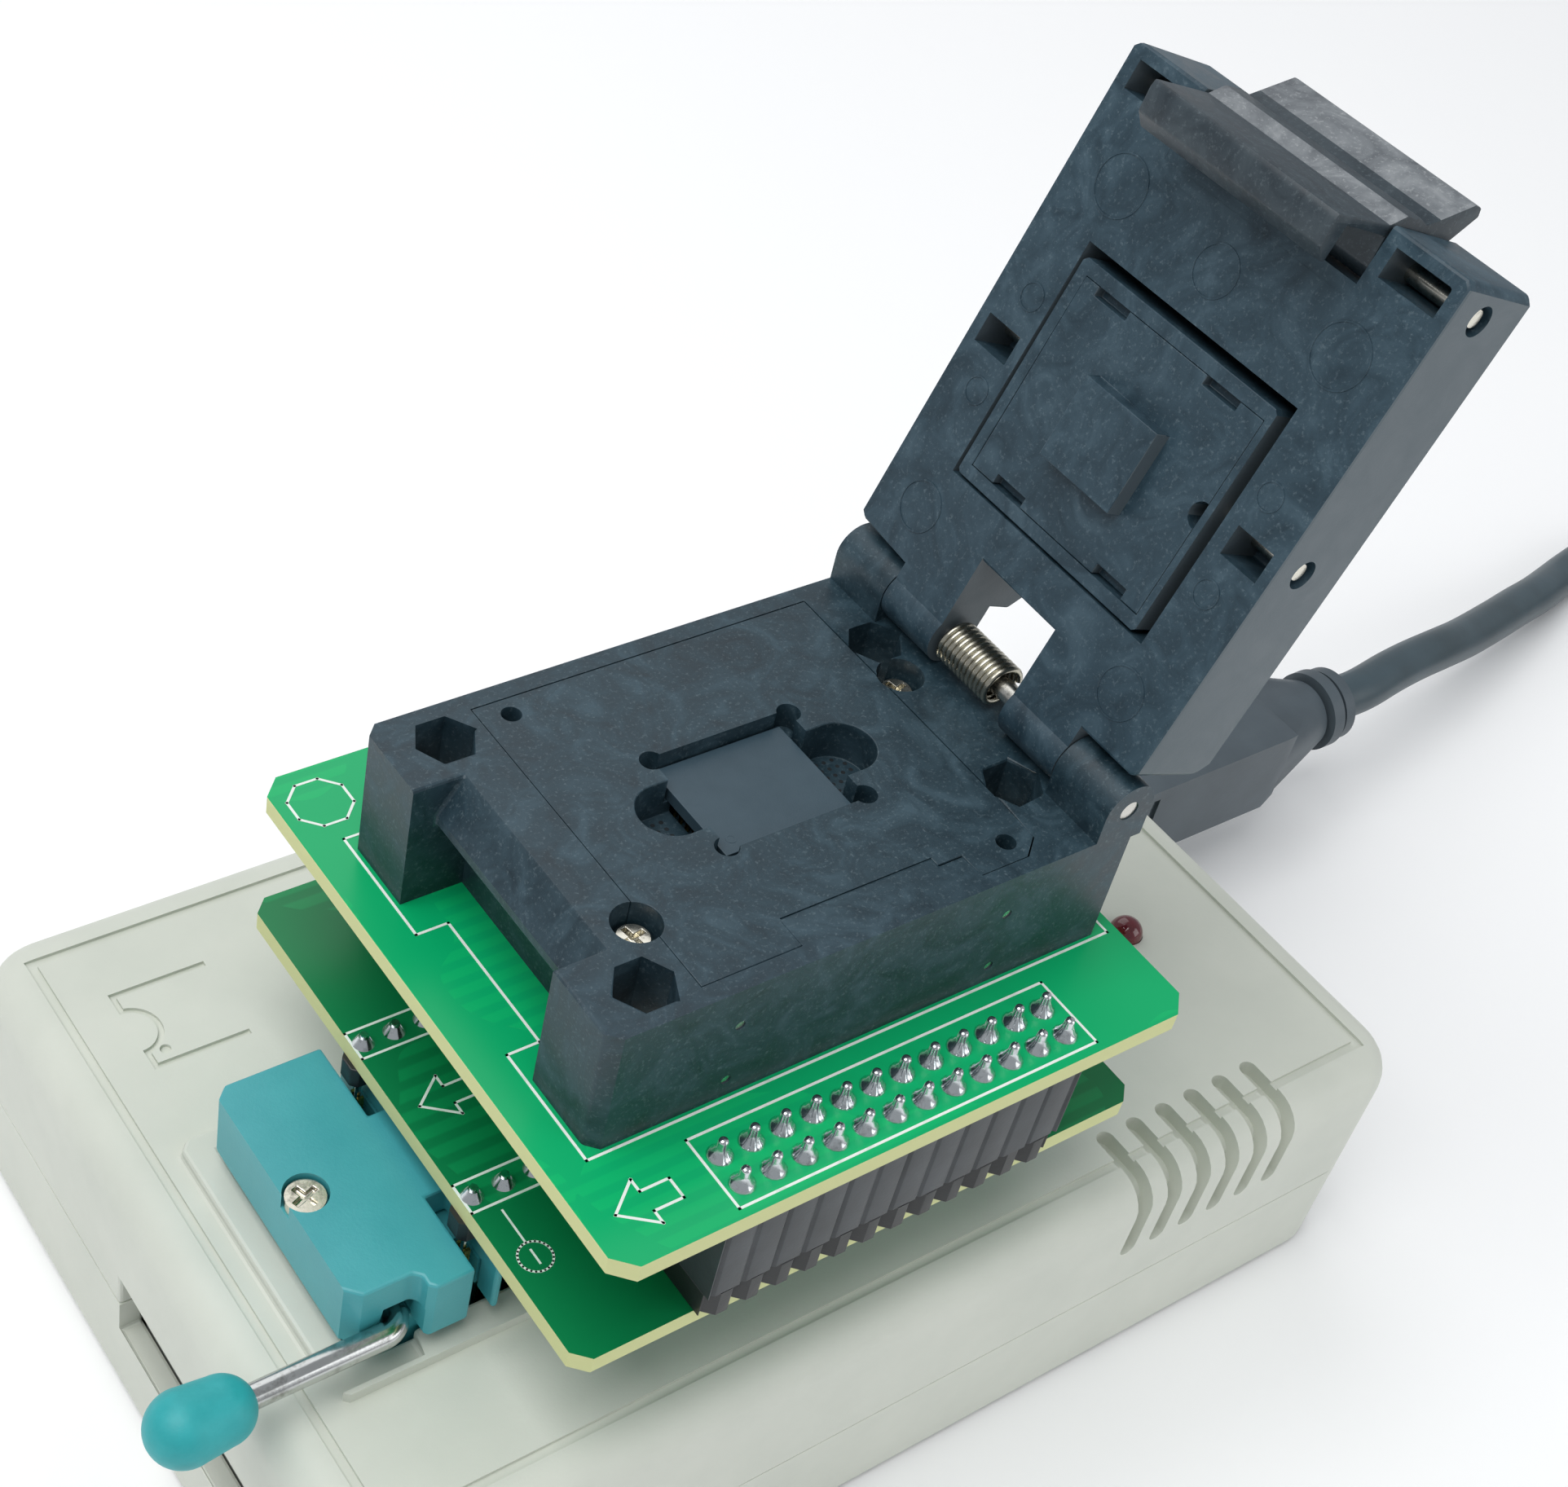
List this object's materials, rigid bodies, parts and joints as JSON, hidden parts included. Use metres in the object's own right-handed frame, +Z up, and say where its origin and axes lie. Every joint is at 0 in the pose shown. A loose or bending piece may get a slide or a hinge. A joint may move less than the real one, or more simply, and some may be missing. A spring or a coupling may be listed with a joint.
{
  "type": "usb microcontroller programmer",
  "caption": "USB device programmer with a zero insertion force socket, stacked adapter boards and a hinged clamshell test socket.",
  "frame": {"origin": "middle of the object's footprint, at the underside of the rubber feet", "axes": "+X along the case towards its USB end, +Y towards the far long side from the socket lever, +Z up"},
  "size_m": [0.2672, 0.0988, 0.1027],
  "materials": {
    "case_abs": "fine moulded grain",
    "foot_rubber": "matt",
    "main_pcb": "solder mask",
    "chip_epoxy": "moulded epoxy",
    "port_steel": "tinned sheet",
    "port_plastic": "moulded",
    "led_lens": "tinted clear resin",
    "zif_teal": "glass filled, moulded",
    "contact_bronze": "plated",
    "lever_nickel": "bright nickel",
    "knob_teal": "moulded",
    "lower_pcb": "solder mask",
    "upper_pcb": "solder mask",
    "header_black": "moulded",
    "solder_tin": "bright solder",
    "socket_black": "glass filled, moulded",
    "latch_black": "glass filled, moulded",
    "memory_epoxy": "moulded epoxy",
    "screw_nickel": "nickel plate",
    "pin_steel": "ground",
    "spring_steel": "drawn wire",
    "plug_black": "fine moulded grain",
    "cable_jacket": "extruded jacket"
  },
  "bodies": {
    "root": {"upper_case": "case_abs", "lower_case": "case_abs", "case_screws": "screw_nickel", "rubber_feet": "foot_rubber", "main_board": "main_pcb", "board_chips": "chip_epoxy", "usb_socket": "port_steel", "programming_header": "port_plastic", "power_led": "led_lens", "zif_risers": "header_black", "zif_base": "zif_teal", "zif_cover": "zif_teal", "zif_screws": "screw_nickel", "zif_contacts": "contact_bronze", "usb_plug": "plug_black", "plug_shell": "port_steel", "strain_relief": "plug_black", "cable": "cable_jacket", "cable_coil": "cable_jacket", "coil_tie": "foot_rubber", "usb_a_plug": "plug_black", "usb_a_shell": "port_steel"},
    "lever": {"zif_lever": "lever_nickel", "lever_knob": "knob_teal"},
    "slider": {"zif_slider": "zif_teal"},
    "lower_adapter": {"lower_board": "lower_pcb", "pin_strips": "header_black", "adapter_pins": "solder_tin", "male_header_front": "header_black", "male_header_back": "header_black"},
    "upper_adapter": {"upper_board": "upper_pcb", "female_header_front": "header_black", "female_header_back": "header_black", "header_solder": "solder_tin", "socket_base": "socket_black", "guide_plate": "socket_black", "plate_screws": "screw_nickel", "probe_block": "socket_black", "contact_probes": "contact_bronze", "memory_chip": "memory_epoxy", "socket_bolts": "screw_nickel", "socket_nuts": "screw_nickel", "side_pins": "pin_steel", "hinge_pin": "pin_steel", "lid_spring": "spring_steel"},
    "lid_body": {"lid": "socket_black", "latch_pin": "pin_steel", "pusher_pin": "pin_steel", "latch_springs": "spring_steel"},
    "latch_body": {"latch": "latch_black"},
    "pusher": {"pusher_frame": "socket_black", "pusher_nose": "socket_black", "pusher_springs": "spring_steel"}
  },
  "joints": [
    {"name": "zif_lever", "type": "hinge", "parent": "root", "child": "lever", "pos_m": [-0.03555, -0.00645, 0.0275], "axis": [0, 1, 0], "range_deg": [0, 90]},
    {"name": "zif_slide", "type": "slide", "parent": "root", "child": "slider", "axis": [1, 0, 0], "range_m": [0, 0.0008]},
    {"name": "adapter_lift", "type": "slide", "parent": "root", "child": "lower_adapter", "axis": [0, 0, 1], "range_m": [0, 0.015]},
    {"name": "board_lift", "type": "slide", "parent": "lower_adapter", "child": "upper_adapter", "axis": [0, 0, 1], "range_m": [0, 0.012]},
    {"name": "lid_hinge", "type": "hinge", "parent": "upper_adapter", "child": "lid_body", "pos_m": [0.01525, -0.00665, 0.06148], "axis": [0, -1, 0], "range_deg": [0, 111.4], "stiffness_Nm_per_rad": 0.003, "springref_deg": -20.05},
    {"name": "latch_hinge", "type": "hinge", "parent": "lid_body", "child": "latch_body", "pos_m": [0.03083, -0.00665, 0.09753], "axis": [0, 1, 0], "range_deg": [0, 19], "stiffness_Nm_per_rad": 0.001, "springref_deg": -14.32},
    {"name": "pusher_slide", "type": "slide", "parent": "lid_body", "child": "pusher", "axis": [0.9311, 0, -0.3649], "range_m": [0, 0.0006], "stiffness_N_per_m": 60, "springref_m": -0.001}
  ],
  "couplings": [
    {"joint": "zif_slide", "follows": "zif_lever", "m_per_rad": 0.000509}
  ]
}
